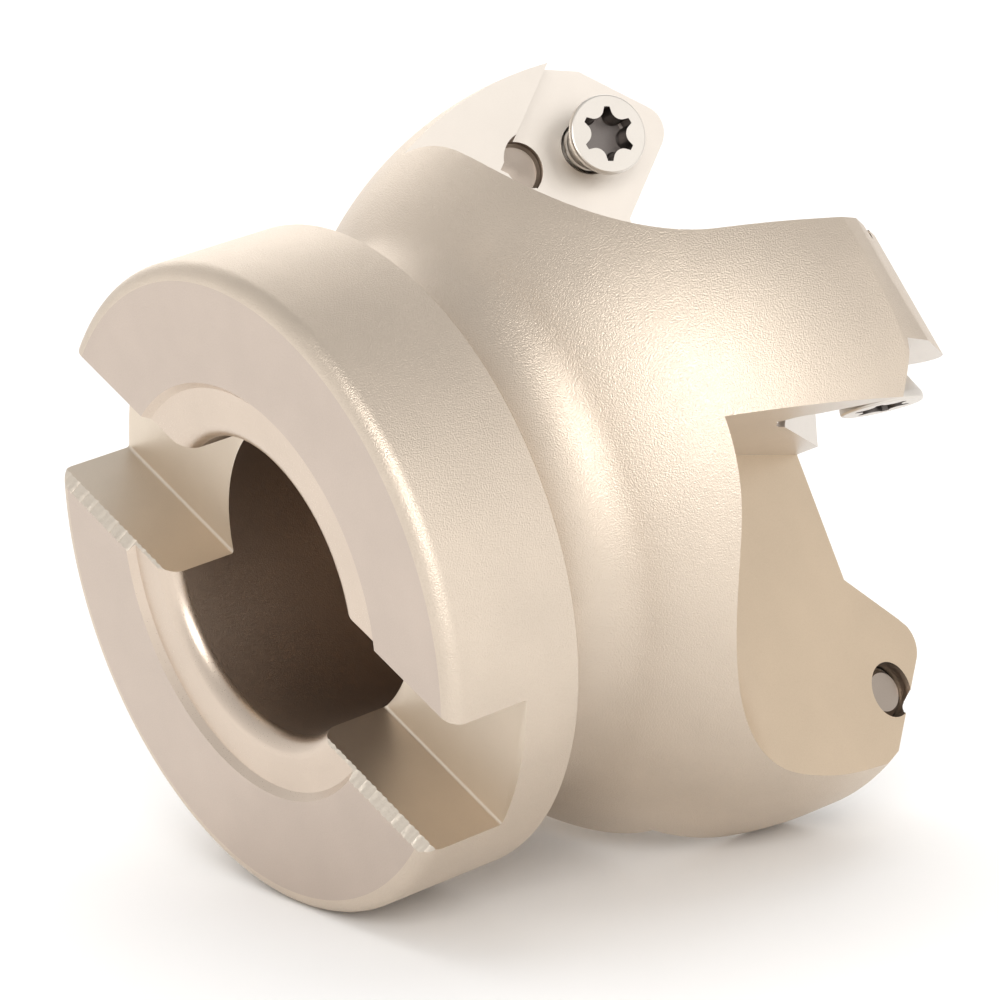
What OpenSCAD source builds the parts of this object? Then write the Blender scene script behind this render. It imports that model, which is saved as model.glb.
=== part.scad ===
// Shell face mill body with four 45 degree insert seats and their clamping screws.
// The cutter axis runs along +X, from the hub face at X = 0 towards the teeth.
// Sizes are in millimetres and angles in degrees.

/* [Hub and drive] */
// diameter of the round hub
hub_diameter = 47.6; // [38:0.2:60]
// length of the hub, from its face to its back shoulder
hub_length = 10.9; // [8:0.1:16]
// radius of the rounding around the hub face
hub_edge_radius = 1.2; // [0.4:0.1:3]
// width of the drive slot across the hub face
slot_width = 11.4; // [8:0.1:14]
// depth of the drive slot
slot_depth = 6.3; // [4:0.1:9]
// width of the small bevel along one wall of the drive slot
slot_bevel = 0.7; // [0.2:0.05:1.2]
// angle about the axis at which the cutter lies, measured at its slot
lie_angle = 25.9; // [-45:0.1:45]

/* [Arbor socket] */
// diameter of the arbor bore
bore_diameter = 22; // [16:0.1:27]
// depth of the arbor bore from the hub face
bore_depth = 20; // [16:0.5:22]
// diameter of the shallow recess around the bore
recess_diameter = 30.6; // [26:0.2:36]
// depth of that recess
recess_depth = 0.5; // [0.2:0.1:1.5]
// radius of the lead-in at the mouth of the bore
lead_radius = 1.4; // [0.5:0.1:2]
// diameter of the hole for the arbor bolt
bolt_hole_diameter = 11; // [8:0.1:13]
// diameter of the bolt head pocket in the front
bolt_head_diameter = 17; // [15:0.1:18]
// thickness of the web the bolt head pulls on
web_thickness = 8; // [5:0.5:10]

/* [Head] */
// largest diameter of the head
head_diameter = 58.6; // [52:0.2:66]
// distance from the hub face to the largest diameter
head_peak = 37; // [34:0.2:38]
// fullness of the long bulge of the head; at 1 it would leave no hollow behind the hub
bulge_fullness = 0.811; // [0.6:0.001:0.95]
// smallest radius of the neck behind the hub
neck_radius = 19.5; // [18.5:0.1:20.5]
// distance from the hub face to the thinnest part of the neck
neck_position = 15; // [13:0.2:15.5]
// distance from the hub face to the front face of the core
core_face = 42; // [41:0.2:43]
// how far inside the middle of the seats the front face of the core ends
core_inset = 6.75; // [6.5:0.05:7.8]
// distance from the hub face to the bevel around the front of the head
bevel_position = 39.5; // [38:0.1:41]
// slope of that bevel, from the axis
bevel_slope = 22; // [10:1:35]

/* [Insert seats] */
// number of teeth
tooth_count = 4; // [4:1:4]
// angle from the drive slot to the middle of the first seat
first_seat_angle = 41.3; // [30:0.1:55]
// distance from the hub face to the middle of a seat
seat_position = 41.5; // [40:0.1:43]
// how far inside the largest diameter the middle of a seat stands
seat_inset = 6.55; // [5:0.05:8]
// forward lean of a seat
axial_rake = 15.3; // [8:0.1:20]
// half width of the seat floor
seat_half_width = 5.7; // [5:0.02:6]
// lean of the two seat walls
seat_wall_lean = 10; // [5:0.5:20]
// height of the seat walls
seat_wall_height = 4.1; // [3:0.1:5]
// rise of the metal above the seat walls towards the hub
seat_wall_rise = 2; // [0:0.5:4]
// distance of the relief hole behind the middle of the seat
relief_offset = 6.6; // [6:0.1:7.5]
// diameter of the relief hole in the seat corner
relief_diameter = 4.3; // [4:0.1:5]
// depth of the relief hole below the seat
relief_depth = 0.9; // [0.4:0.1:1.5]

/* [Tooth nose] */
// clearance of the outer side of the nose behind the seat
nose_clearance = 21; // [15:0.5:24]
// half width of the square nose towards the outside
nose_outer = 4.4; // [3.8:0.05:5]
// half width of the square nose towards the inside
nose_inner = 4.75; // [3.8:0.05:5]
// rounding of the tip of the nose
nose_rounding = 2; // [0.5:0.1:3]

/* [Chip gullets] */
// thickness of a tooth behind its seat
tooth_thickness = 9.2; // [8:0.05:10]
// taper of the tooth towards the hub
tooth_taper = 2; // [0:0.1:4]
// length of a gullet behind the middle of the seat
gullet_length = 23.1; // [20:0.1:24]
// lean of the wall at the hub end of a gullet
gullet_end_lean = 9; // [0:0.5:15]
// corner radius at the hub end of a gullet
gullet_radius = 9; // [4:0.2:10]

/* [Insert screws] */
// outside diameter of the screw thread
screw_diameter = 4; // [3:0.1:4.5]
// diameter of the screw head
screw_head_diameter = 6; // [5:0.1:6.6]
// overall length of the screw
screw_length = 12; // [10:0.1:16]
// height of the straight rim of the head
screw_rim = 0.55; // [0.3:0.05:1]
// angle of the cone under the head
screw_cone = 60; // [50:1:90]
// height of the head face above the seat
screw_stand = 3.6; // [3.2:0.1:5]
// size across the points of the star recess
star_size = 4.2; // [3:0.05:4.6]
// depth of the star recess
star_depth = 1.7; // [1:0.1:2.4]
// lean of the screw that pulls the insert into its corner
screw_lean = 6; // [0:0.5:9]
// gap between the screw and its hole, all round
screw_clearance = 0.05; // [0.02:0.01:0.1]

/* [Hidden] */
hub_radius = hub_diameter / 2;
head_radius = head_diameter / 2;
seat_radius = head_radius - seat_inset;
core_radius = seat_radius - core_inset;
// the largest bulge that still touches the neck is a circle through the neck and the peak of the head
neck_depth = head_radius - neck_radius;
neck_run = head_peak - neck_position;
bulge_radius = bulge_fullness * (neck_depth * neck_depth + neck_run * neck_run) / (2 * neck_depth);
bulge_centre = head_radius - bulge_radius;
// the neck hollow is the circle that touches both the neck and the bulge of the head
neck_rise = neck_radius - bulge_centre;
neck_hollow = (neck_rise * neck_rise + neck_run * neck_run - bulge_radius * bulge_radius)
    / (2 * (bulge_radius - neck_rise));
hollow_centre = neck_radius + neck_hollow;
blend = bulge_radius / (bulge_radius + neck_hollow);
blend_radius = bulge_centre + blend * (hollow_centre - bulge_centre);
blend_position = head_peak - blend * (head_peak - neck_position);
hollow_start = asin((neck_position - hub_length) / neck_hollow);
hollow_end = asin((blend_position - neck_position) / neck_hollow);
bulge_start = asin((head_peak - blend_position) / bulge_radius);
// the blank has a plain pointed rim, from which the noses are cut
nose_flat = 1;
nose_end = core_face + seat_radius - nose_flat - core_radius;
// radius at which the bevel runs into the outer side of that rim
cone_run = nose_end + seat_radius + nose_flat - head_radius - bevel_position;
cone_radius = head_radius - cone_run * tan(bevel_slope) / (1 - tan(bevel_slope));
web_end = bore_depth + web_thickness;
hole_radius = screw_diameter / 2 + screw_clearance;
screw_head_radius = screw_head_diameter / 2;
cone_height = (screw_head_radius - screw_diameter / 2) / tan(screw_cone / 2);
tooth_step = 360 / tooth_count;
// reach of cutting blocks past the metal they cut
reach = 34;
over = 1;
$fn = 96;

function arc(cr, cz, r, a0, a1, n) =
    [for (i = [0:n]) let(a = a0 + (a1 - a0) * i / n) [cr + r * cos(a), cz + r * sin(a)]];

// The cutter's own frame stands on the hub face with Z along the axis; this lays it down along X.
module lie_down() {
    rotate([lie_angle, 0, 0]) rotate([90, 0, 90]) children();
}

// Frame of one seat: X forward along the seat, Y outward, Z square to the seat floor.
module seat_frame(tooth, rake = axial_rake) {
    rotate([0, 0, first_seat_angle + tooth * tooth_step])
        translate([seat_radius, 0, seat_position])
            rotate([-rake, 0, 0])
                rotate([-90, -90, 0])
                    children();
}

// Frame of one screw: the middle of its head face, with Z along the screw, out of its hole.
module screw_frame(tooth) {
    seat_frame(tooth) translate([0, 0, screw_stand]) rotate([0, screw_lean, 0]) children();
}

// Outline of the turned blank, from the axis out and back.
module blank_outline() {
    polygon(concat(
        [[0, 0]],
        arc(hub_radius - hub_edge_radius, hub_edge_radius, hub_edge_radius, -90, 0, 6),
        [[hub_radius, hub_length]],
        arc(hollow_centre, neck_position, neck_hollow, 180 + hollow_start, 180 - hollow_end, 7),
        arc(bulge_centre, head_peak, bulge_radius, -bulge_start + 4, 0, 8),
        [[head_radius, bevel_position]],
        [[cone_radius, nose_end + seat_radius + nose_flat - cone_radius]],
        [[seat_radius + nose_flat, nose_end]],
        [[seat_radius - nose_flat, nose_end]],
        [[core_radius, core_face]],
        [[0, core_face]]
    ));
}

// Outline of the stepped hole through the middle.
module socket_outline() {
    lead_edge = bore_diameter / 2 + lead_radius;
    polygon(concat(
        [[0, -over]],
        [[recess_diameter / 2 + over, -over]],
        [[recess_diameter / 2, 0]],
        [[recess_diameter / 2 - recess_depth, recess_depth]],
        arc(lead_edge, recess_depth + lead_radius, lead_radius, 270, 180, 5),
        [[bore_diameter / 2, bore_depth]],
        [[bolt_hole_diameter / 2, bore_depth]],
        [[bolt_hole_diameter / 2, web_end]],
        [[bolt_head_diameter / 2, web_end]],
        [[bolt_head_diameter / 2, core_face + over]],
        [[0, core_face + over]]
    ));
}

// Drive slot with a bevel along one wall, seen along the slot.
module drive_slot() {
    half = slot_width / 2;
    rotate([90, 0, 90])
        translate([0, 0, -reach])
            linear_extrude(height = 2 * reach)
                polygon([
                    [-half - slot_bevel - over, -over], [-half - slot_bevel, 0], [-half, slot_bevel],
                    [-half, slot_depth], [half, slot_depth], [half, -over]
                ]);
}

// Insert pocket: a square corner turned 45 degrees with leaning walls and a relief hole.
module pocket(tooth) {
    seat_frame(tooth) {
        rotate([0, 0, 45]) intersection() {
            translate([-seat_half_width - 4, seat_half_width + 4 - reach / 2, 0])
                cube([reach / 2, reach / 2, seat_wall_height + over]);
            translate([-seat_half_width, 0, 0])
                rotate([0, -seat_wall_lean, 0])
                    translate([0, -reach / 2, -reach / 2])
                        cube([reach, reach, reach]);
            translate([0, seat_half_width, 0])
                rotate([-seat_wall_lean, 0, 0])
                    translate([-reach / 2, -reach, -reach / 2])
                        cube([reach, reach, reach]);
        }
        translate([-relief_offset, 0, -relief_depth])
            cylinder(d = relief_diameter, h = relief_depth + seat_wall_height + over);
    }
}

// Through hole of one insert screw.
module screw_hole(tooth) {
    screw_frame(tooth)
        translate([0, 0, -tooth_thickness - screw_stand - 4])
            cylinder(r = hole_radius, h = tooth_thickness + screw_stand + 5);
}

// Frame of one nose: X square to its outer side, Y along that side, Z along its edges.
module nose_frame(tooth) {
    depth = tooth_thickness + 6;
    seat_frame(tooth) rotate([0, 0, 45]) rotate([0, nose_clearance, 0])
        translate([0, 0, -depth]) linear_extrude(height = depth + 8) children();
}

// What is cut away in front of one tooth: all but a square corner with a rounded tip.
// The inner side runs out at the front face of the core.
module nose(tooth) {
    far = 12;
    side = nose_outer * cos(nose_clearance);
    round_x = side - nose_rounding;
    nose_frame(tooth) polygon(concat(
        [[side, far]],
        arc(round_x, nose_rounding - nose_inner, nose_rounding, 0, -90, 5),
        [[round_x + 1, -nose_inner - far / 2]],
        [[far, -nose_inner - far / 2]],
        [[far, far]]
    ));
    intersection() {
        nose_frame(tooth) polygon([
            [-far / 2, -nose_inner], [round_x, -nose_inner], [far / 2, -nose_inner - 1],
            [far / 2, -nose_inner - far / 2], [0, -nose_inner - far / 2], [-far / 2, -nose_inner - 3]
        ]);
        translate([-reach, -reach, core_face])
            cube([2 * reach, 2 * reach, reach]);
    }
}

// Chip gullet between one tooth and the back of the next.
module gullet(tooth) {
    corner_x = gullet_radius - gullet_length;
    corner_y = -tooth_thickness - corner_x * tan(tooth_taper) - gullet_radius / cos(tooth_taper);
    intersection() {
        seat_frame(tooth)
            translate([0, 0, seat_wall_height])
                rotate([0, seat_wall_rise, 0])
                    translate([-reach, -reach, 0])
                        cube([2 * reach, 2 * reach, reach]);
        seat_frame(tooth + 1)
            rotate([90, 0, 0])
                translate([0, 0, -reach])
                    linear_extrude(height = 2 * reach)
                        polygon(concat(
                            arc(corner_x, corner_y, gullet_radius,
                                180 + gullet_end_lean, 90 - tooth_taper, 7),
                            [[reach / 2, -tooth_thickness - reach / 2 * tan(tooth_taper)]],
                            [[reach / 2, -reach]],
                            [[(reach + corner_y) * tan(gullet_end_lean) - gullet_length, -reach]]
                        ));
    }
}

module body() {
    color([0.75, 0.69, 0.62]) lie_down() difference() {
        rotate_extrude() blank_outline();
        rotate_extrude() socket_outline();
        drive_slot();
        for (tooth = [0:tooth_count - 1]) {
            gullet(tooth);
            nose(tooth);
            pocket(tooth);
            screw_hole(tooth);
        }
    }
}

// Insert screw with a coned head and a star recess, placed in its own seat.
module insert_screw(tooth) {
    // six round lands stand in the recess and leave its six points between them
    lobe = star_size * 0.2;
    color([0.55, 0.53, 0.5]) lie_down() screw_frame(tooth)
        difference() {
            union() {
                translate([0, 0, -screw_length])
                    cylinder(d = screw_diameter, h = screw_length - screw_rim - cone_height + 0.1);
                translate([0, 0, -screw_rim - cone_height])
                    cylinder(d1 = screw_diameter, d2 = screw_head_diameter, h = cone_height);
                translate([0, 0, -screw_rim])
                    cylinder(d = screw_head_diameter, h = screw_rim);
            }
            translate([0, 0, -star_depth])
                linear_extrude(height = star_depth + over)
                    difference() {
                        circle(d = star_size);
                        for (i = [0:5])
                            rotate([0, 0, 60 * i + 30])
                                translate([star_size / 2 + lobe * 0.15, 0])
                                    circle(r = lobe);
                    }
        }
}

body();  // cutter_body
insert_screw(0);  // insert_screw_1
insert_screw(1);  // insert_screw_2
insert_screw(2);  // insert_screw_3
insert_screw(3);  // insert_screw_4
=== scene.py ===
import math
import bpy
import bmesh
from mathutils import Matrix, Vector


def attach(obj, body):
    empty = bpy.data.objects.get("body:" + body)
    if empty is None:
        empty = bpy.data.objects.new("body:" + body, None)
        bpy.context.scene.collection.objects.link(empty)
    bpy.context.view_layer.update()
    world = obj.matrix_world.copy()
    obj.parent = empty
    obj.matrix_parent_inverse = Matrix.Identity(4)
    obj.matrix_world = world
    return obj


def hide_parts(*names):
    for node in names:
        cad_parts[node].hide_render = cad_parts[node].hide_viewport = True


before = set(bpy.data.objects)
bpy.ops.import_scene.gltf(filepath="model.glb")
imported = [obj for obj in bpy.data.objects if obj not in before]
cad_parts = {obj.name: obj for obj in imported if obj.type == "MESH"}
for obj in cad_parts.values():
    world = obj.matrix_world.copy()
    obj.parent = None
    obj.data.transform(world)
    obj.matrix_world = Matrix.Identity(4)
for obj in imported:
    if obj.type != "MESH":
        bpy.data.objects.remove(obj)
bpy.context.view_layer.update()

# %% [markdown]
# The solids of the cutter arrive as the fixed frame.

# %% [markdown]
# A shell mill body is turned first and milled afterwards, so it is described here the same way: in its
# own lathe frame, in millimetres, with the axis along Z and the hub face at zero. One matrix then lays
# the finished cutter down along X, rolled until its drive slot slants.

# %% The lathe frame
MM = 0.001
ROLL = 25.9
def turn(axis, degrees):
    return Matrix.Rotation(math.radians(degrees), 4, axis)
LAY_DOWN = Matrix.Scale(MM, 4) @ turn("X", ROLL) @ turn("Z", 90) @ turn("X", 90)
print("the axis lies along", [round(v, 3) for v in LAY_DOWN.to_3x3().col[2].normalized()])

# %% [markdown]
# Everything at a tooth is set out from the middle of its insert seat. The seats stand a quarter turn
# apart and are raked, so a chip is lifted off the work. The head of each screw leans a little toward
# the front, away from the corner of its pocket. A real one leans so that it draws its insert into the
# corner as it is driven in.

# %% Set out the seats and the screws
SEAT_TURN = 41.3
SEAT_R = 22.75
SEAT_Z = 41.5
RAKE = 15.3
SCREW_STAND = 3.6
SCREW_LEAN = 6
def seat_frame(tooth):
    """The middle of a seat: X toward the front of the cutter, Y outward, Z standing off the seat."""
    middle = turn("Z", SEAT_TURN + 90 * tooth) @ Matrix.Translation((SEAT_R, 0, SEAT_Z))
    return middle @ turn("X", -RAKE) @ turn("Y", -90) @ turn("X", -90)
def screw_frame(tooth):
    """The top of a screw's head, with Z along the screw."""
    return seat_frame(tooth) @ Matrix.Translation((0, 0, SCREW_STAND)) @ turn("Y", SCREW_LEAN)
print("screw 1 head stands at", [round(v, 2) for v in screw_frame(0).to_translation()])

# %% [markdown]
# The whole tool is made to look like steel under a thin satin plate. What differs from face to face is
# how it was left before plating: blasted outside, turned across the hub face, milled in the slot and
# gullets and ground smooth on the seats. One metal recipe therefore takes a tint, a roughness, a grain
# size and a grain depth. Turned faces also take the pitch and depth of rings about the axis.

# %% The metal recipe
CLOUDS_PER_METRE = 160
MOTTLING = 0.08
def metal(name, tint, rough, grain_mm, grain_depth, lines=None):
    m = bpy.data.materials.new(name)
    m.use_nodes = True
    t = m.node_tree
    t.nodes.clear()
    out = t.nodes.new("ShaderNodeOutputMaterial")
    bsdf = t.nodes.new("ShaderNodeBsdfPrincipled")
    t.links.new(bsdf.outputs[0], out.inputs[0])
    bsdf.inputs["Metallic"].default_value = 1.0
    coord = t.nodes.new("ShaderNodeTexCoord")
    cloud = t.nodes.new("ShaderNodeTexNoise")
    cloud.inputs["Scale"].default_value = CLOUDS_PER_METRE
    cloud.inputs["Detail"].default_value = 4
    t.links.new(coord.outputs["Object"], cloud.inputs["Vector"])
    grain = t.nodes.new("ShaderNodeTexNoise")
    grain.inputs["Scale"].default_value = 1 / (grain_mm * MM)
    grain.inputs["Detail"].default_value = 2
    t.links.new(coord.outputs["Object"], grain.inputs["Vector"])
    shade = t.nodes.new("ShaderNodeMapRange")
    shade.inputs["To Min"].default_value = 1 - MOTTLING
    shade.inputs["To Max"].default_value = 1 + MOTTLING
    t.links.new(cloud.outputs["Fac"], shade.inputs["Value"])
    colour = t.nodes.new("ShaderNodeVectorMath")
    colour.operation = "SCALE"
    colour.inputs[0].default_value = tint
    t.links.new(shade.outputs[0], colour.inputs["Scale"])
    t.links.new(colour.outputs[0], bsdf.inputs["Base Color"])
    gloss = t.nodes.new("ShaderNodeMapRange")
    gloss.inputs["From Min"].default_value = 0.3
    gloss.inputs["From Max"].default_value = 0.7
    gloss.inputs["To Min"].default_value = rough * 0.85
    gloss.inputs["To Max"].default_value = rough * 1.15
    t.links.new(grain.outputs["Fac"], gloss.inputs["Value"])
    t.links.new(gloss.outputs[0], bsdf.inputs["Roughness"])
    bump = t.nodes.new("ShaderNodeBump")
    bump.inputs["Strength"].default_value = 1.0
    bump.inputs["Distance"].default_value = grain_depth * MM
    t.links.new(grain.outputs["Fac"], bump.inputs["Height"])
    last = bump
    if lines:
        last = ring_lines(t, coord, bump, *lines)
    t.links.new(last.outputs[0], bsdf.inputs["Normal"])
    return m
def ring_lines(t, coord, under, pitch, depth):
    """Fine turned rings about the X axis, laid over another bump."""
    split = t.nodes.new("ShaderNodeSeparateXYZ")
    t.links.new(coord.outputs["Object"], split.inputs[0])
    flat = t.nodes.new("ShaderNodeCombineXYZ")
    t.links.new(split.outputs[1], flat.inputs[1])
    t.links.new(split.outputs[2], flat.inputs[2])
    radius = t.nodes.new("ShaderNodeVectorMath")
    radius.operation = "LENGTH"
    t.links.new(flat.outputs[0], radius.inputs[0])
    rings = t.nodes.new("ShaderNodeTexNoise")
    rings.noise_dimensions = "1D"
    rings.inputs["Scale"].default_value = 1 / (pitch * MM)
    rings.inputs["Detail"].default_value = 3
    t.links.new(radius.outputs["Value"], rings.inputs["W"])
    ring_bump = t.nodes.new("ShaderNodeBump")
    ring_bump.inputs["Distance"].default_value = depth * MM
    t.links.new(rings.outputs["Fac"], ring_bump.inputs["Height"])
    t.links.new(under.outputs[0], ring_bump.inputs["Normal"])
    return ring_bump
print("one recipe, clouds about", round(1000 / CLOUDS_PER_METRE, 1), "mm across")

# %% [markdown]
# Each finish is one call: tint, roughness, grain size and grain depth. The blasted skin has the deepest
# grain. The chattered bevel has the lightest tint, so its ripples catch the light, and the holes and
# the star recess are darker, because little light comes back out of them.

# %% Mix the finishes
BLASTED = metal("blasted nickel", (0.66, 0.57, 0.475), 0.44, 0.11, 0.050)
FACED = metal("turned hub face", (0.57, 0.485, 0.42), 0.42, 0.12, 0.012, lines=(0.35, 0.006))
RECESS = metal("turned recess", (0.64, 0.54, 0.45), 0.32, 0.10, 0.006, lines=(0.3, 0.004))
SHADED_BORE = metal("bored socket with painted shade", (0.44, 0.35, 0.28), 0.42, 0.11, 0.012)
SLOTTED = metal("milled slot", (0.72, 0.63, 0.525), 0.40, 0.10, 0.008)
CHATTER_HIGHLIGHT = metal("chattered bevel", (0.78, 0.70, 0.60), 0.35, 0.30, 0.04)
MILLED = metal("milled gullet", (0.63, 0.51, 0.38), 0.46, 0.10, 0.008)
GROUND = metal("ground seat", (0.68, 0.63, 0.575), 0.40, 0.08, 0.004)
SHADED_HOLE = metal("drilled hole with painted shade", (0.40, 0.34, 0.29), 0.35, 0.1, 0.008)
SCREW = metal("screw steel", (0.70, 0.66, 0.61), 0.38, 0.09, 0.006)
SHADED_STAR = metal("star recess", (0.20, 0.18, 0.17), 0.40, 0.10, 0.008)
FINISHES = [BLASTED, FACED, RECESS, SHADED_BORE, SLOTTED, CHATTER_HIGHLIGHT, MILLED, GROUND, SHADED_HOLE, SCREW, SHADED_STAR]
print("finishes mixed:", len(FINISHES))

# %% [markdown]
# A lathe sweeps an outline about the axis. Every mesh of the cutter carries the whole list of finishes
# and each face points at its own, so a face keeps its finish through all the cuts that follow.

# %% Helpers for turned shapes
def arc(cx, cy, r, a0, a1, n):
    steps = [math.radians(a0 + (a1 - a0) * i / n) for i in range(n + 1)]
    return [(cx + r * math.cos(a), cy + r * math.sin(a)) for a in steps]

def add_object(name, bm, materials=FINISHES):
    bm.normal_update()
    mesh = bpy.data.meshes.new(name)
    bm.to_mesh(mesh)
    bm.free()
    obj = bpy.data.objects.new(name, mesh)
    bpy.context.scene.collection.objects.link(obj)
    for m in materials:
        mesh.materials.append(m)
    return obj

def turned(name, outline, steps, paint):
    """Sweeps (radius, height) points about Z; paint gives the finish at a radius and height."""
    bm = bmesh.new()
    first = bm.verts.new((0, 0, outline[0][1]))
    last = bm.verts.new((0, 0, outline[-1][1]))
    rings = []
    for r, z in outline[1:-1]:
        angles = [2 * math.pi * i / steps for i in range(steps)]
        rings.append([bm.verts.new((r * math.cos(a), r * math.sin(a), z)) for a in angles])
    for i in range(steps):
        j = (i + 1) % steps
        bm.faces.new((first, rings[0][j], rings[0][i]))
        bm.faces.new((last, rings[-1][i], rings[-1][j]))
        for k in range(len(rings) - 1):
            bm.faces.new((rings[k][i], rings[k][j], rings[k + 1][j], rings[k + 1][i]))
    bmesh.ops.recalc_face_normals(bm, faces=bm.faces)
    for face in bm.faces:
        middle = face.calc_center_median()
        face.material_index = FINISHES.index(paint(math.hypot(middle.x, middle.y), middle.z))
    return add_object(name, bm)
print("a quarter round is drawn with", len(arc(0, 0, 1, 0, 90, 9)), "points")

# %% [markdown]
# A mill removes the sweep of its own outline, and a tap's shape is a stack of rings. A cut is a
# boolean, and the faces it leaves wear the finish of the tool that made them.

# %% Helpers for milled shapes
def prism(name, outline, z0, z1, place, finish, walls=None, steps=1):
    """Extrudes an outline from z0 to z1; walls names the sides that have another finish."""
    bm = bmesh.new()
    layers = []
    for s in range(steps + 1):
        z = z0 + (z1 - z0) * s / steps
        layers.append([bm.verts.new((x, y, z)) for x, y in outline])
    n = len(outline)
    side_finish = [(walls or {}).get(i, finish) for i in range(n)]
    for end in (list(reversed(layers[0])), layers[-1]):
        bm.faces.new(end).material_index = FINISHES.index(finish)
    for s in range(steps):
        for i in range(n):
            j = (i + 1) % n
            face = bm.faces.new((layers[s][i], layers[s][j], layers[s + 1][j], layers[s + 1][i]))
            face.material_index = FINISHES.index(side_finish[i])
    bmesh.ops.recalc_face_normals(bm, faces=bm.faces)
    bm.transform(place)
    return add_object(name, bm)

def loft(name, rows, place, finish):
    """Joins rings of points, all of one length, into a closed skin."""
    bm = bmesh.new()
    rings = [[bm.verts.new(p) for p in ring] for ring in rows]
    n = len(rings[0])
    for k in range(len(rings) - 1):
        for i in range(n):
            j = (i + 1) % n
            bm.faces.new((rings[k][i], rings[k][j], rings[k + 1][j], rings[k + 1][i]))
    bm.faces.new(list(reversed(rings[0])))
    bm.faces.new(rings[-1])
    bmesh.ops.recalc_face_normals(bm, faces=bm.faces)
    for face in bm.faces:
        face.material_index = FINISHES.index(finish)
    bm.transform(place)
    return add_object(name, bm)

def combine(target, tool, how):
    """Boolean of two meshes; cut faces keep the finish of the tool that made them."""
    step = target.modifiers.new("cut", "BOOLEAN")
    step.operation = how
    step.solver = "MANIFOLD"
    step.object = tool
    bpy.context.view_layer.update()
    result = bpy.data.meshes.new_from_object(target.evaluated_get(bpy.context.evaluated_depsgraph_get()))
    target.modifiers.clear()
    target.data = result
    bpy.data.objects.remove(tool)
    return target

def square(half):
    return [(-half, -half), (half, -half), (half, half), (-half, half)]

def tan(degrees):
    return math.tan(math.radians(degrees))
print("a two degree taper gives", round(tan(2) * 10, 2), "mm in ten")

# %% [markdown]
# The blank is one outline swept about the axis: a hub with a rounded edge at its face, a hollow neck,
# and a head that bulges to its largest diameter before a bevel, a cone and a narrow rim. The neck is
# one hollow arc. It is narrowest near the hub and runs into the bulge without a kink.

# %% Find where the neck meets the bulge
HUB_R = 23.8
HUB_L = 10.9
HEAD_R = 29.3
PEAK = 37.0
BULGE = 24.0
NECK_R = 19.5
NECK_Z = 15.0
rise = NECK_R - (HEAD_R - BULGE)
run = PEAK - NECK_Z
hollow = (rise * rise + run * run - BULGE * BULGE) / (2 * (BULGE - rise))
meet = BULGE / (BULGE + hollow)
meet_z = PEAK - meet * run
a_hub = math.degrees(math.asin((NECK_Z - HUB_L) / hollow))
a_meet = math.degrees(math.asin((meet_z - NECK_Z) / hollow))
b_meet = math.degrees(math.asin((PEAK - meet_z) / BULGE))
print("neck hollow radius", round(hollow, 2), "and it meets the bulge at", round(meet_z, 2))

# %% [markdown]
# The head ends in a bevel that leans a little and then a cone at 45 degrees. The rim is a narrow flat
# ring at the radius of the seats, and inside it another cone falls to the flat front of the core.

# %% Turn the blank
ROUND = 192
EDGE = 1.2
BAND_END = 39.5
BEVEL_LEAN = 22
CORE_Z = 42.0
CORE_R = 16.0
RIM_IN = SEAT_R - 1
RIM_OUT = SEAT_R + 1
rim_z = CORE_Z + RIM_IN - CORE_R
slope = tan(BEVEL_LEAN)
cone_r = HEAD_R - (rim_z + RIM_OUT - HEAD_R - BAND_END) * slope / (1 - slope)
blank_outline = [(0, 0), (HUB_R - EDGE - 0.01, 0)]
blank_outline += arc(HUB_R - EDGE, EDGE, EDGE, -90, 0, 10)
blank_outline += [(HUB_R, HUB_L * k / 6) for k in range(2, 6)]
blank_outline += [(HUB_R, HUB_L - 0.15), (HUB_R - 0.15, HUB_L)]
blank_outline += arc(NECK_R + hollow, NECK_Z, hollow, 180 + a_hub, 180 - a_meet, 18)
blank_outline += arc(HEAD_R - BULGE, PEAK, BULGE, -b_meet + 1.2, 0, 34)
blank_outline += [(HEAD_R, BAND_END - 1.2), (HEAD_R, BAND_END - 0.2)]
blank_outline += arc(HEAD_R - 0.5, BAND_END - 0.1, 0.5, 0, BEVEL_LEAN, 3)
blank_outline += [(cone_r, rim_z + RIM_OUT - cone_r), (RIM_OUT, rim_z)]
blank_outline += [(RIM_IN, rim_z), (CORE_R, CORE_Z), (0, CORE_Z)]
def blank_finish(r, z):
    hub_face = z < 0.001
    core_face = z > CORE_Z - 0.1 and r < CORE_R
    return FACED if hub_face or core_face else BLASTED
body = turned("cutter_skin", blank_outline, ROUND, blank_finish)
print("blank rings", len(blank_outline), "and length", round(rim_z, 2))

# %% [markdown]
# The arbor socket is bored from the hub side. A shallow recess with a small bevel surrounds it, and the
# mouth of the bore is rounded so the arbor slides in. Behind the bore a web is left with a hole for the
# arbor bolt, and the head of the bolt gets its own pocket from the front.

# %% Bore the arbor socket
BORE = 11.0
BORE_END = 20
MOUTH = 1.4
BOLT_HOLE = 5.5
WEB_END = 28
BOLT_HEAD = 8.5
socket_outline = [(0, -2), (16.3, -2), (16.3, -1), (15.35, -0.05), (15.3, 0)]
socket_outline += [(14.8, 0.5), (14.4, 0.52), (13.4, 0.52)]
socket_outline += arc(BORE + MOUTH, 1.9, MOUTH, 270, 180, 9)
socket_outline += [(BORE, 6), (BORE, 12), (BORE, BORE_END - 0.4), (BORE - 0.4, BORE_END)]
socket_outline += [(BOLT_HOLE + 0.3, BORE_END), (BOLT_HOLE, BORE_END + 0.3)]
socket_outline += [(BOLT_HOLE, WEB_END - 0.3), (BOLT_HOLE + 0.3, WEB_END)]
socket_outline += [(BOLT_HEAD - 0.4, WEB_END), (BOLT_HEAD, WEB_END + 0.4)]
socket_outline += [(BOLT_HEAD, CORE_Z - 0.4), (BOLT_HEAD + 0.6, CORE_Z + 0.2)]
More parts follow.
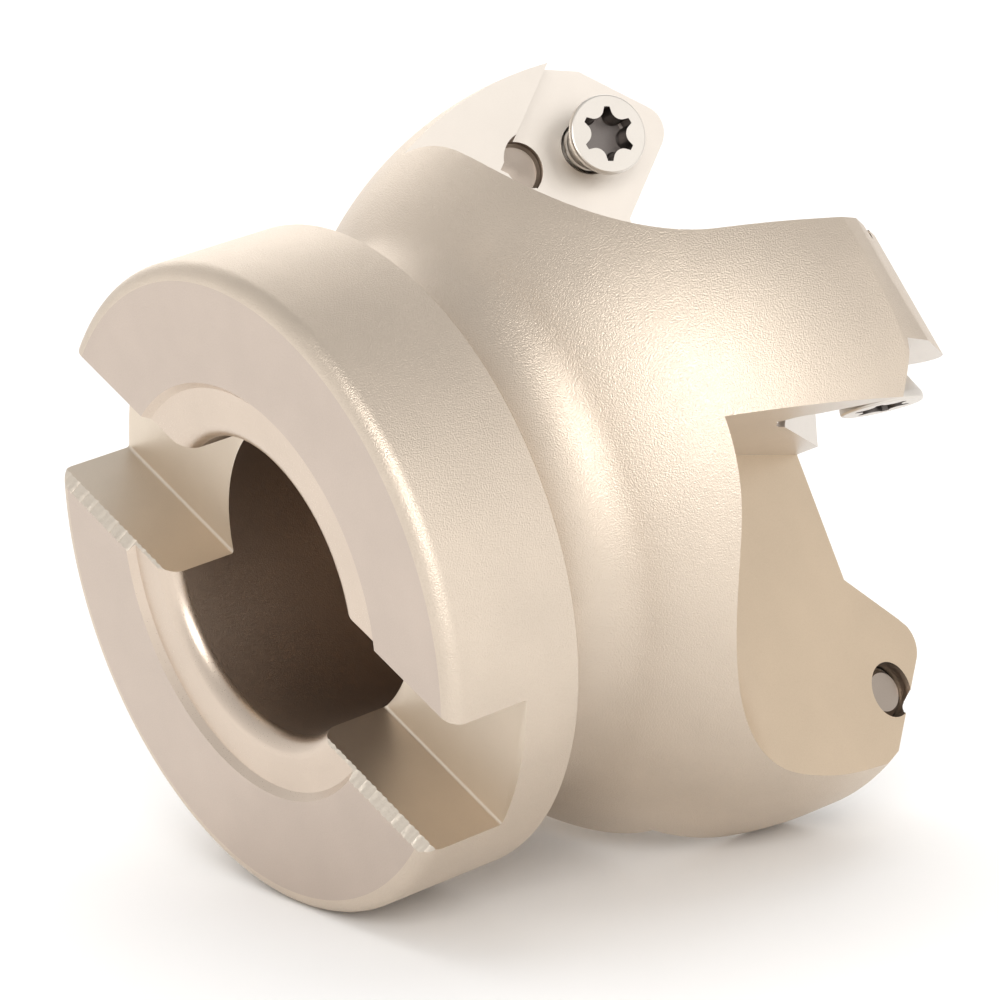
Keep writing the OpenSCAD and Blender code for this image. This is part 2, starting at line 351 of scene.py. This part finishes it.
socket_outline += [(BOLT_HEAD + 0.6, CORE_Z + 2), (0, CORE_Z + 2)]
# Deeper than the recess the bore wears the darker tint, which is painted shade inside the socket.
def socket_finish(r, z):
    return SHADED_BORE if z > 2 else RECESS
socket = turned("socket_tool", socket_outline, ROUND, socket_finish)
body = combine(body, socket, "DIFFERENCE")
print("after boring:", len(body.data.polygons), "faces")

# %% [markdown]
# The drive slot is milled across the hub face in one pass, and its floor corners keep the small radius
# of the cutter. One edge carries a narrow bevel with the even ripples that a chattering tool leaves.
# The ripples are real shape: the slot's tool is divided finely along its length, and the two edges of
# its bevel are moved in and out.

# %% Mill the drive slot
HALF = 5.7
DEPTH = 6.3
BEVEL = 0.7
CORNER = 0.25
SLOT_REACH = 26
RIPPLE = 0.07
RIPPLE_PITCH = 0.62
slot_outline = [(-HALF - BEVEL - 1, -1), (-HALF - BEVEL, 0), (-HALF, BEVEL)]
slot_outline += arc(-HALF + CORNER, DEPTH - CORNER, CORNER, 180, 90, 4)
slot_outline += arc(HALF - CORNER, DEPTH - CORNER, CORNER, 90, 0, 4)
slot_outline += [(HALF, -1)]
# The bevel's walls wear the lightest tint, a painted highlight. The ripples under it are real shape.
slot = prism("slot_tool", slot_outline, -SLOT_REACH, SLOT_REACH, Matrix.Identity(4), SLOTTED,
             walls={0: CHATTER_HIGHLIGHT, 1: CHATTER_HIGHLIGHT}, steps=260)
def ripple(along):
    main = math.sin(along * 2 * math.pi / RIPPLE_PITCH + 0.8 * math.sin(along * 0.9))
    return RIPPLE * main + 0.03 * math.sin(along * 5.1)
for v in slot.data.vertices:
    x, y, z = v.co
    if abs(x + HALF + BEVEL) < 0.01:
        v.co.x -= ripple(z)
    elif abs(x + HALF) < 0.01 and y < BEVEL + 0.01:
        v.co.y += 0.7 * ripple(z)
slot.data.transform(turn("Z", 90) @ turn("X", 90))
body = combine(body, slot, "DIFFERENCE")
print("after slotting:", len(body.data.polygons), "faces")

# %% [markdown]
# Four gullets are milled into the head to make room for chips. Each one is the space between the facet
# above one seat and the back of the next tooth, so its cutter is a rounded channel trimmed by a plane.
# The channel keeps the round of the end mill at its end toward the hub.

# %% Mill the chip gullets
TOOTH = 9.2
TAPER = 2
END_LEAN = 9
GULLET_R = 9
GULLET_L = 23.1
REACH = 60
WALL_H = 4.1
FACET_LEAN = 2
gx = GULLET_R - GULLET_L
gy = -TOOTH - gx * tan(TAPER) - GULLET_R / math.cos(math.radians(TAPER))
gullet_outline = arc(gx, gy, GULLET_R, 180 + END_LEAN, 90 - TAPER, 20)
gullet_outline += [(REACH / 2, -TOOTH - REACH / 2 * tan(TAPER)), (REACH / 2, -REACH)]
gullet_outline += [((REACH + gy) * tan(END_LEAN) - GULLET_L, -REACH)]
def gullet_tool(tooth):
    next_tooth = seat_frame(tooth + 1) @ turn("X", 90)
    channel = prism("channel", gullet_outline, -REACH, REACH, next_tooth, MILLED)
    facet = seat_frame(tooth) @ Matrix.Translation((0, 0, WALL_H)) @ turn("Y", FACET_LEAN)
    return combine(channel, prism("facet", square(REACH), 0, REACH, facet, GROUND), "INTERSECT")
for tooth in range(4):
    body = combine(body, gullet_tool(tooth), "DIFFERENCE")
print("after gullets:", len(body.data.polygons), "faces")

# %% [markdown]
# In front of each pocket the tooth is trimmed to a square corner with a rounded tip. The outer side
# leans back from the work for clearance, while the inner side runs out at the front of the core.

# %% Trim the tooth noses
NOSE_OUT = 4.4
NOSE_IN = 4.75
NOSE_LEAN = 21
NOSE_R = 2
NOSE_BACK = -TOOTH - 6
NOSE_TOP = 8
side = NOSE_OUT * math.cos(math.radians(NOSE_LEAN))
corner = side - NOSE_R
outer_nose = [(side, 12)]
outer_nose += arc(corner, NOSE_R - NOSE_IN, NOSE_R, 0, -90, 14)
outer_nose += [(corner + 1, -NOSE_IN - 6), (12, -NOSE_IN - 6), (12, 12)]
inner_nose = [(-6, -NOSE_IN), (corner, -NOSE_IN), (6, -NOSE_IN - 1)]
inner_nose += [(6, -NOSE_IN - 6), (0, -NOSE_IN - 6), (-6, -NOSE_IN - 3)]
def inner_nose_tool(place):
    inner = prism("inner", inner_nose, NOSE_BACK, NOSE_TOP, place, GROUND)
    front = prism("front", square(50), CORE_Z, 80, Matrix.Identity(4), FACED)
    return combine(inner, front, "INTERSECT")
for tooth in range(4):
    place = seat_frame(tooth) @ turn("Z", 45) @ turn("Y", NOSE_LEAN)
    outer = prism("nose", outer_nose, NOSE_BACK, NOSE_TOP, place, BLASTED)
    body = combine(body, outer, "DIFFERENCE")
    body = combine(body, inner_nose_tool(place), "DIFFERENCE")
print("after noses:", len(body.data.polygons), "faces")

# %% [markdown]
# Each pocket is a flat seat with two walls that lean outward to match the tapered sides of an insert.
# The walls meet toward the hub, and a round relief in that corner clears the insert's own point. The
# insert would sit on the seat, but it is sold separately and the pockets are left empty.

# %% Mill the insert pockets
SEAT = 5.7
WALL_LEAN = 10
OPEN = 30
RELIEF_AT = -6.6
RELIEF_R = 2.15
RELIEF_D = 0.9
def pocket_tool(tooth):
    top = WALL_H + 0.6
    lean = top * tan(WALL_LEAN)
    wide = SEAT + lean
    low = [(-SEAT, SEAT, 0), (-SEAT, -OPEN, 0), (OPEN, -OPEN, 0), (OPEN, SEAT, 0)]
    high = [(-wide, wide, top), (-wide, -OPEN, top), (OPEN, -OPEN, top), (OPEN, wide, top)]
    return loft("walls", [low, high], seat_frame(tooth) @ turn("Z", 45), GROUND)
def relief_tool(tooth):
    outline = [(0, 0.1 - RELIEF_D), (0.5, -RELIEF_D), (RELIEF_R - 0.25, -RELIEF_D)]
    outline += [(RELIEF_R, 0.2 - RELIEF_D), (RELIEF_R, WALL_H + 1), (0, WALL_H + 1)]
    # The relief's walls wear the darker hole tint, painted shade in the corner of the pocket.
    relief = turned("relief", outline, 48, lambda r, z: SHADED_HOLE)
    relief.data.transform(seat_frame(tooth) @ Matrix.Translation((RELIEF_AT, 0, 0)))
    return relief
for tooth in range(4):
    body = combine(body, pocket_tool(tooth), "DIFFERENCE")
    body = combine(body, relief_tool(tooth), "DIFFERENCE")
print("after pockets:", len(body.data.polygons), "faces")

# %% [markdown]
# The screw holes are tapped right through the teeth. The thread is modelled as a real helix: rings of
# points whose radius rises and falls once per turn, swept down the hole. It fades toward the back of
# the tooth, where the wall beside the hole gets thin. The same sweep, a little smaller, makes the
# threads of the screws.

# %% Tap the screw holes
PITCH = 0.7
RINGS_PER_PITCH = 8
HOLE_CREST = 2.26
HOLE_ROOT = 2.06
def thread_rows(crest, root, z0, z1, per_turn=40, plain_below=-99):
    """Rings of points down a thread, each offset by the helix; the thread fades below plain_below."""
    rows = []
    count = round((z1 - z0) / PITCH * RINGS_PER_PITCH)
    for k in range(count + 1):
        z = z0 + (z1 - z0) * k / count
        ring = []
        for i in range(per_turn):
            a = 2 * math.pi * i / per_turn
            phase = (z / PITCH - i / per_turn) % 1
            wave = min(1, max(0, abs(2 * phase - 1) * 1.5 - 0.25))
            r = root + (crest - root) * wave * min(1, max(0.1, z - plain_below))
            ring.append((r * math.cos(a), r * math.sin(a), z))
        rows.append(ring)
    return rows
for tooth in range(4):
    rows = thread_rows(HOLE_CREST, HOLE_ROOT, -TOOTH - 8, -3.0, plain_below=-11)
    # The tapped walls wear the darker hole tint, painted shade inside the hole.
    body = combine(body, loft("tap", rows, screw_frame(tooth), SHADED_HOLE), "DIFFERENCE")
print("after tapping:", len(body.data.polygons), "faces")

# %% [markdown]
# The key turns an insert screw by a six-lobed star recess. The outline of the star is a circle with six
# round dents in it. Its mouth is a little wider than its walls and its floor a little narrower.

# %% Draw the star recess
STAR_R = 2.05
DENT_R = 0.84
DENT_AT = 2.23
STAR_TURN = 12
STAR_POINTS = 120
def star_outline():
    points = []
    for i in range(STAR_POINTS):
        a = 2 * math.pi * i / STAR_POINTS
        aside = (i % 20 - 10) * math.radians(3)
        land = DENT_R ** 2 - (DENT_AT * math.sin(aside)) ** 2
        r = STAR_R
        if land >= 0:
            r = min(STAR_R, DENT_AT * math.cos(aside) - math.sqrt(land))
        a += math.radians(STAR_TURN)
        points.append((r * math.cos(a), r * math.sin(a)))
    return points
star = star_outline()
star_layers = [(1.07, 0.5), (1.0, -0.06), (1.0, -1.55), (0.9, -1.7)]
star_rows = [[(x * s, y * s, z) for x, y in star] for s, z in star_layers]
print("star from", round(min(math.hypot(x, y) for x, y in star), 2), "to", STAR_R, "mm")

# %% [markdown]
# Above its thread each insert screw has a plain neck, a cone that would seat in the insert and a short
# rim. With no inserts fitted the heads stand proud of their seats.

# %% Make one insert screw for each tooth
SCREW_L = 12.0
SHANK_R = 2.0
SHANK_ROOT = 1.72
HEAD_RIM = 3.0
def ring(r, z):
    angles = [2 * math.pi * i / 60 for i in range(60)]
    return [(r * math.cos(a), r * math.sin(a), z) for a in angles]
def screw_mesh(tooth):
    rows = [ring(1.45, -SCREW_L), ring(1.62, -11.8)]
    rows += thread_rows(SHANK_R, SHANK_ROOT, -11.6, -3.6, per_turn=60)
    rows += [ring(1.9, -3.5), ring(1.98, -2.4)]
    rows += [ring(SHANK_R + 0.95 * t, -2.28 + 1.68 * t) for t in (0.0, 0.33, 0.66, 0.97)]
    rows += [ring(HEAD_RIM, -0.5), ring(HEAD_RIM, -0.14), ring(HEAD_RIM - 0.05, -0.05), ring(2.86, 0.0)]
    screw = loft("insert_screw_shape", rows, Matrix.Identity(4), SCREW)
    # The end of the screw wears the darker hole tint, painted shade where it sits down in its hole.
    for p in screw.data.polygons:
        if p.center.z < -11.7:
            p.material_index = FINISHES.index(SHADED_HOLE)
    # The star recess wears the darkest tint, painted shade down in the recess.
    screw = combine(screw, loft("star", star_rows, Matrix.Identity(4), SHADED_STAR), "DIFFERENCE")
    screw.data.transform(LAY_DOWN @ screw_frame(tooth))
    return screw
screws = []
for tooth in range(4):
    screw = screw_mesh(tooth)
    screw.name = "insert_screw_%d_skin" % (tooth + 1)
    screws.append(screw)
print("screws made:", len(screws), "with", len(screws[0].data.polygons), "faces each")

# %% [markdown]
# The cutter is laid down into the shared frame, where the screws already are. Faces that meet at a
# small angle are shaded as one smooth surface and all other edges stay crisp. Each shape takes the
# place of its plain solid. The body follows the cutter and each screw follows its own slide.

# %% Put the shapes in the frame
BODY_SMOOTH = 32
SCREW_SMOOTH = 28
def keep_used_finishes(mesh):
    used = sorted({p.material_index for p in mesh.polygons})
    places = [used.index(p.material_index) for p in mesh.polygons]
    kept = [FINISHES[i] for i in used]
    mesh.materials.clear()
    for m in kept:
        mesh.materials.append(m)
    mesh.polygons.foreach_set("material_index", places)
    print(" ", mesh.name, "wears", [m.name for m in kept])
def finish_edges(obj, angle):
    keep_used_finishes(obj.data)
    obj.data.polygons.foreach_set("use_smooth", [True] * len(obj.data.polygons))
    obj.data.set_sharp_from_angle(angle=math.radians(angle))
    bpy.context.view_layer.update()
body.data.transform(LAY_DOWN)
finish_edges(body, BODY_SMOOTH)
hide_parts("cutter_body")
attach(body, "cutter")
for number, screw in enumerate(screws, 1):
    finish_edges(screw, SCREW_SMOOTH)
    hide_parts("insert_screw_%d" % number)
    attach(screw, "screw_%d" % number)
print("body faces", len(body.data.polygons))

# %% [markdown]
# The cutter lies on its side, so it rests on the edge of its hub and on its head. The floor is the
# plane through the lowest points of both, found by tipping a level until the two ends touch it at once.

# %% Find the plane it lies on
HUB_PART = 0.012
HEAD_PART = 0.030
points = [v.co.copy() for v in body.data.vertices]
hub_points = [p for p in points if p.x < HUB_PART]
head_points = [p for p in points if p.x > HEAD_PART]
def lowest(some, tip):
    return min(p.x * math.sin(tip) + p.z * math.cos(tip) for p in some)
low_tip = 0.0
high_tip = math.radians(20)
for step in range(30):
    tip = (low_tip + high_tip) / 2
    if lowest(head_points, tip) < lowest(hub_points, tip):
        low_tip = tip
    else:
        high_tip = tip
floor_up = Vector((math.sin(tip), 0, math.cos(tip)))
floor_level = lowest(hub_points, tip)
print("the axis is tipped", round(math.degrees(tip), 2), "degrees on the floor")

# %% [markdown]
# A wide white floor runs off into white air with no horizon. It only shows its upper side, so the
# cutter can also be looked at from below.

# %% Lay the floor
FLOOR_R = 3.0
FLOOR_GAP = 0.00002
def surface(name, albedo):
    m = bpy.data.materials.new(name)
    m.use_nodes = True
    t = m.node_tree
    t.nodes.clear()
    out = t.nodes.new("ShaderNodeOutputMaterial")
    diffuse = t.nodes.new("ShaderNodeBsdfDiffuse")
    diffuse.inputs["Color"].default_value = (*albedo, 1)
    mix = t.nodes.new("ShaderNodeMixShader")
    clear = t.nodes.new("ShaderNodeBsdfTransparent")
    geometry = t.nodes.new("ShaderNodeNewGeometry")
    t.links.new(geometry.outputs["Backfacing"], mix.inputs[0])
    t.links.new(diffuse.outputs[0], mix.inputs[1])
    t.links.new(clear.outputs[0], mix.inputs[2])
    t.links.new(mix.outputs[0], out.inputs[0])
    return m
floor_bm = bmesh.new()
bmesh.ops.create_circle(floor_bm, cap_ends=True, segments=64, radius=FLOOR_R)
floor_bm.transform(floor_up.to_track_quat("Z", "Y").to_matrix().to_4x4())
floor_bm.transform(Matrix.Translation(floor_up * (floor_level - FLOOR_GAP)))
floor = add_object("floor", floor_bm, [surface("white floor", (0.86, 0.86, 0.86))])
print("the floor lies", round(-floor_level * 1000, 2), "mm below the middle of the hub face")

# %% [markdown]
# Satin metal shows what surrounds it, so the light is built from soft sources. The key light stands
# behind the viewer and above, a weak one fills the side of the head, and a broad one behind the cutter
# edges it with light. The top light keeps the floor white and is hidden from the metal's reflections.

# %% Light it softly
MIDDLE = Vector((0.024, 0, 0))
def softbox(name, toward, distance, width, height, power, tint):
    """A soft rectangle of light, in metres and watts, that faces the middle of the cutter."""
    data = bpy.data.lights.new(name, "AREA")
    data.shape = "RECTANGLE"
    data.size = width
    data.size_y = height
    data.energy = power
    data.color = tint
    lamp = bpy.data.objects.new(name, data)
    lamp.location = MIDDLE + Vector(toward).normalized() * distance
    lamp.rotation_mode = "QUATERNION"
    lamp.rotation_quaternion = Vector(toward).to_track_quat("Z", "Y")
    bpy.context.scene.collection.objects.link(lamp)
    print(" ", name, "light at", [round(v, 2) for v in lamp.location])
    return lamp
softbox("key", (-0.44, -0.72, 0.53), distance=1.0, width=0.46, height=0.36,
        power=4.2, tint=(1, 0.985, 0.96))
softbox("front", (0.25, -0.9, 0.35), distance=1.1, width=0.8, height=0.6,
        power=0.9, tint=(1, 0.98, 0.95))
softbox("back", (0.54, 0.78, 0.33), distance=1.2, width=1.2, height=0.5,
        power=3, tint=(1, 0.99, 0.97))
top = softbox("top", (0.15, 0.25, 1), distance=1.3, width=1.6, height=1.4,
              power=10, tint=(1, 0.99, 0.98))
top.visible_glossy = False
print("softboxes:", len(bpy.data.lights))

# %% [markdown]
# The air is a warm white that dims overhead, so upward faces of the metal don't wash out. The camera
# itself sees it even and nearly white.

# %% Fill the room with white air
HORIZON = 1.0
ZENITH = 0.62
SEEN = 0.95
world = bpy.data.worlds.new("white air")
bpy.context.scene.world = world
world.use_nodes = True
sky = world.node_tree
air = sky.nodes["Background"]
air.inputs["Color"].default_value = (1.0, 0.985, 0.97, 1)
direction = sky.nodes.new("ShaderNodeTexCoord")
height = sky.nodes.new("ShaderNodeSeparateXYZ")
sky.links.new(direction.outputs["Generated"], height.inputs[0])
fade = sky.nodes.new("ShaderNodeMapRange")
fade.inputs["From Min"].default_value = 0.15
fade.inputs["From Max"].default_value = 0.95
fade.inputs["To Min"].default_value = HORIZON
fade.inputs["To Max"].default_value = ZENITH
sky.links.new(height.outputs["Z"], fade.inputs["Value"])
path = sky.nodes.new("ShaderNodeLightPath")
seen = sky.nodes.new("ShaderNodeMix")
seen.inputs["B"].default_value = SEEN
sky.links.new(fade.outputs["Result"], seen.inputs["A"])
sky.links.new(path.outputs["Is Camera Ray"], seen.inputs["Factor"])
sky.links.new(seen.outputs["Result"], air.inputs["Strength"])
bpy.context.scene.view_settings.view_transform = "Standard"
print("air strength", HORIZON, "at the horizon and", ZENITH, "overhead")

# %% [markdown]
# The camera looks at the hub end from one side and a little above, with a long lens that keeps
# the hub face nearly true.

# %% Place the camera
CAMERA_AT = Vector((-0.1735, -0.2826, 0.1108))
right = Vector((0.79, -0.598, -0.129))
up = Vector((0.285, 0.172, 0.943))
back = Vector((-0.542, -0.782, 0.306))
lens = bpy.data.cameras.new("camera")
lens.lens = 180
lens.sensor_width = 36
lens.clip_start = 0.01
lens.clip_end = 20
camera = bpy.data.objects.new("camera", lens)
camera.matrix_world = Matrix.Translation(CAMERA_AT) @ Matrix((right, up, back)).transposed().to_4x4()
bpy.context.scene.collection.objects.link(camera)
bpy.context.scene.camera = camera
print("camera", round((CAMERA_AT - MIDDLE).length * 1000), "mm from the middle of the cutter")
